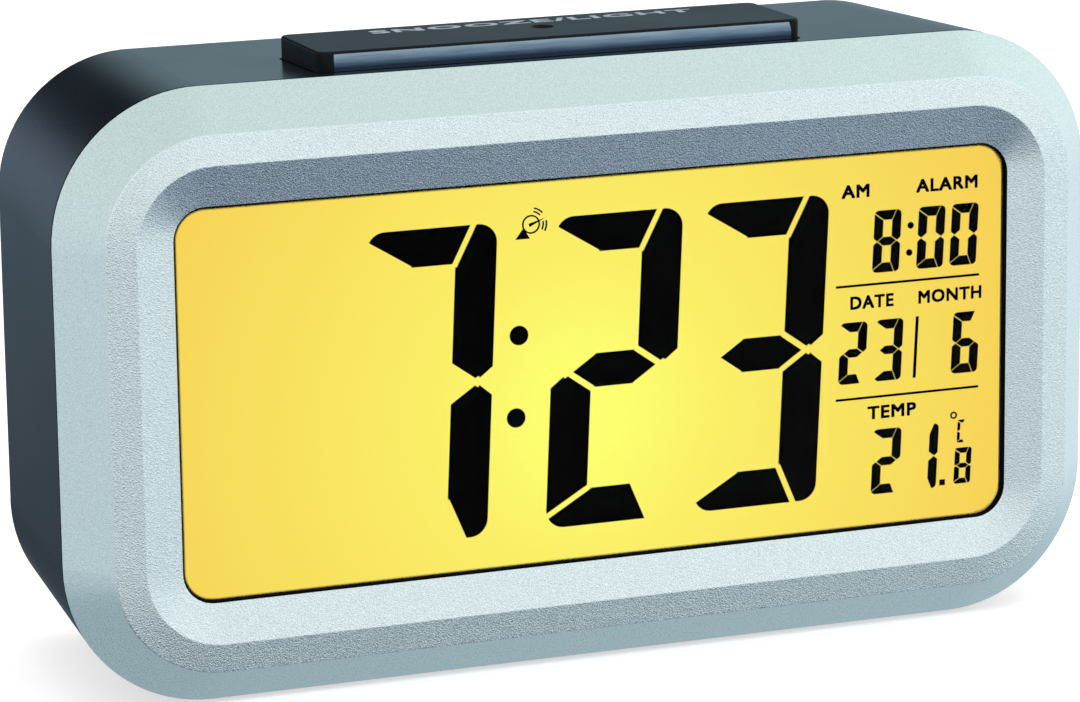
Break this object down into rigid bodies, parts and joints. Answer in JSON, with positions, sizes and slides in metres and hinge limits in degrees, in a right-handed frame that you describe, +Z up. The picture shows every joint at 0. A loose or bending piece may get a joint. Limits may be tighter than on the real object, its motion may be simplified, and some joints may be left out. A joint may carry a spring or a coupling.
{
  "type": "digital alarm clock",
  "caption": "Desk alarm clock with a wide lit liquid-crystal display, silver stepped front frame, dark tapered housing and a long snooze and light bar on top.",
  "frame": {"origin": "middle of the overall footprint, on the surface that the feet stand on", "axes": "+X across the clock to the viewer's right, +Y from the display to the rear, +Z up"},
  "size_m": [0.135, 0.0441, 0.0781],
  "materials": {
    "bar_plastic": "satin moulded ABS, dark blue-grey",
    "battery_jacket": "plain grey jacket",
    "black_foam": "black closed-cell foam",
    "black_resin": "black epoxy",
    "capacitor_sleeve": "dark blue shrink sleeve",
    "cell_seal": "epoxy seal",
    "circuit_board": "green solder mask",
    "clear_acrylic": "clear polished acrylic",
    "copper_wire": "enamelled copper wire",
    "dark_plastic": "fine-textured ABS, dark slate grey",
    "diode_resin": "yellow phosphor resin",
    "display_glass": "clear thin glass",
    "feet_rubber": "black rubber",
    "ferrite": "sintered ferrite, dark grey",
    "film": "clear polarising film",
    "glossy_strip": "glossy dark blue-grey strip",
    "guide_acrylic": "clear acrylic with printed dots",
    "key_plastic": "grey moulded ABS",
    "liquid_crystal": "near-black liquid crystal",
    "lit_film": "yellow transflective film, lit from behind",
    "nickel_plate": "nickel-plated steel",
    "plated_can": "tin-plated steel",
    "plunger_plastic": "dark moulded acetal",
    "sensor_resin": "clear epoxy over a dark cell",
    "silicone_rubber": "silicone with carbon layers",
    "silver_paint": "metallic silver paint on moulded ABS",
    "speaker_film": "moulded polyester film",
    "speaker_steel": "black painted steel",
    "spring_steel": "bright spring wire",
    "switch_plastic": "black moulded nylon",
    "white_plastic": "moulded white ABS",
    "white_sheet": "white reflecting sheet",
    "wire_sleeve": "red and black insulation",
    "zinc_screws": "zinc-plated steel"
  },
  "bodies": {
    "clock_body": {"alarm_segments": "liquid_crystal", "antenna_coil": "copper_wire", "backlight_diodes": "diode_resin", "backlight_strips": "circuit_board", "bar_springs": "spring_steel", "batteries": "battery_jacket", "battery_leads": "wire_sleeve", "board_cables": "wire_sleeve", "capacitors": "capacitor_sleeve", "case_screws": "zinc_screws", "cell_seal": "cell_seal", "controller_blob": "black_resin", "crystal": "plated_can", "date_segments": "liquid_crystal", "display_gasket": "black_foam", "display_lens": "clear_acrylic", "display_marks": "liquid_crystal", "display_tray": "white_plastic", "ferrite_rod": "ferrite", "flat_contacts": "nickel_plate", "front_frame": "silver_paint", "front_glass": "display_glass", "front_polariser": "film", "key_board": "circuit_board", "key_switches": "switch_plastic", "light_guide": "guide_acrylic", "light_sensor": "sensor_resin", "main_board": "circuit_board", "radio_board": "circuit_board", "rear_glass": "display_glass", "rear_housing": "dark_plastic", "rear_polariser": "lit_film", "reflector_sheet": "white_sheet", "rubber_feet": "feet_rubber", "slide_switch_body": "plated_can", "small_screws": "zinc_screws", "snooze_board": "circuit_board", "snooze_switch": "switch_plastic", "speaker_basket": "speaker_steel", "speaker_cone": "speaker_film", "speaker_leads": "wire_sleeve", "speaker_magnet": "ferrite", "spring_contacts": "nickel_plate", "temperature_segments": "liquid_crystal", "time_segments": "liquid_crystal", "zebra_connector": "silicone_rubber"},
    "press_bar_body": {"press_bar": "bar_plastic", "press_bar_strip": "glossy_strip", "snooze_plunger": "plunger_plastic"},
    "slide_knob_body": {"slide_switch_knob": "plunger_plastic"},
    "battery_door_body": {"battery_door": "dark_plastic"},
    "key_1_body": {"key_1": "key_plastic", "key_plunger_1": "plunger_plastic"},
    "key_2_body": {"key_2": "key_plastic", "key_plunger_2": "plunger_plastic"},
    "key_3_body": {"key_3": "key_plastic", "key_plunger_3": "plunger_plastic"},
    "key_4_body": {"key_4": "key_plastic", "key_plunger_4": "plunger_plastic"}
  },
  "joints": [
    {"name": "snooze_press", "type": "slide", "parent": "clock_body", "child": "press_bar_body", "axis": [0, 0, -1], "range_m": [0, 0.0008], "stiffness_N_per_m": 1500, "springref_m": -0.0008, "deforming": ["bar_springs"]},
    {"name": "battery_door_swing", "type": "hinge", "parent": "clock_body", "child": "battery_door_body", "pos_m": [0, 0.02125, 0.0071], "axis": [-1, 0, 0], "range_deg": [0, 80]},
    {"name": "night_light_slide", "type": "slide", "parent": "clock_body", "child": "slide_knob_body", "axis": [1, 0, 0], "range_m": [0, 0.0025]},
    {"name": "key_1_press", "type": "slide", "parent": "clock_body", "child": "key_1_body", "axis": [0, -1, 0], "range_m": [0, 0.0005], "stiffness_N_per_m": 1000, "springref_m": -0.0005},
    {"name": "key_2_press", "type": "slide", "parent": "clock_body", "child": "key_2_body", "axis": [0, -1, 0], "range_m": [0, 0.0005], "stiffness_N_per_m": 1000, "springref_m": -0.0005},
    {"name": "key_3_press", "type": "slide", "parent": "clock_body", "child": "key_3_body", "axis": [0, -1, 0], "range_m": [0, 0.0005], "stiffness_N_per_m": 1000, "springref_m": -0.0005},
    {"name": "key_4_press", "type": "slide", "parent": "clock_body", "child": "key_4_body", "axis": [0, -1, 0], "range_m": [0, 0.0005], "stiffness_N_per_m": 1000, "springref_m": -0.0005}
  ]
}
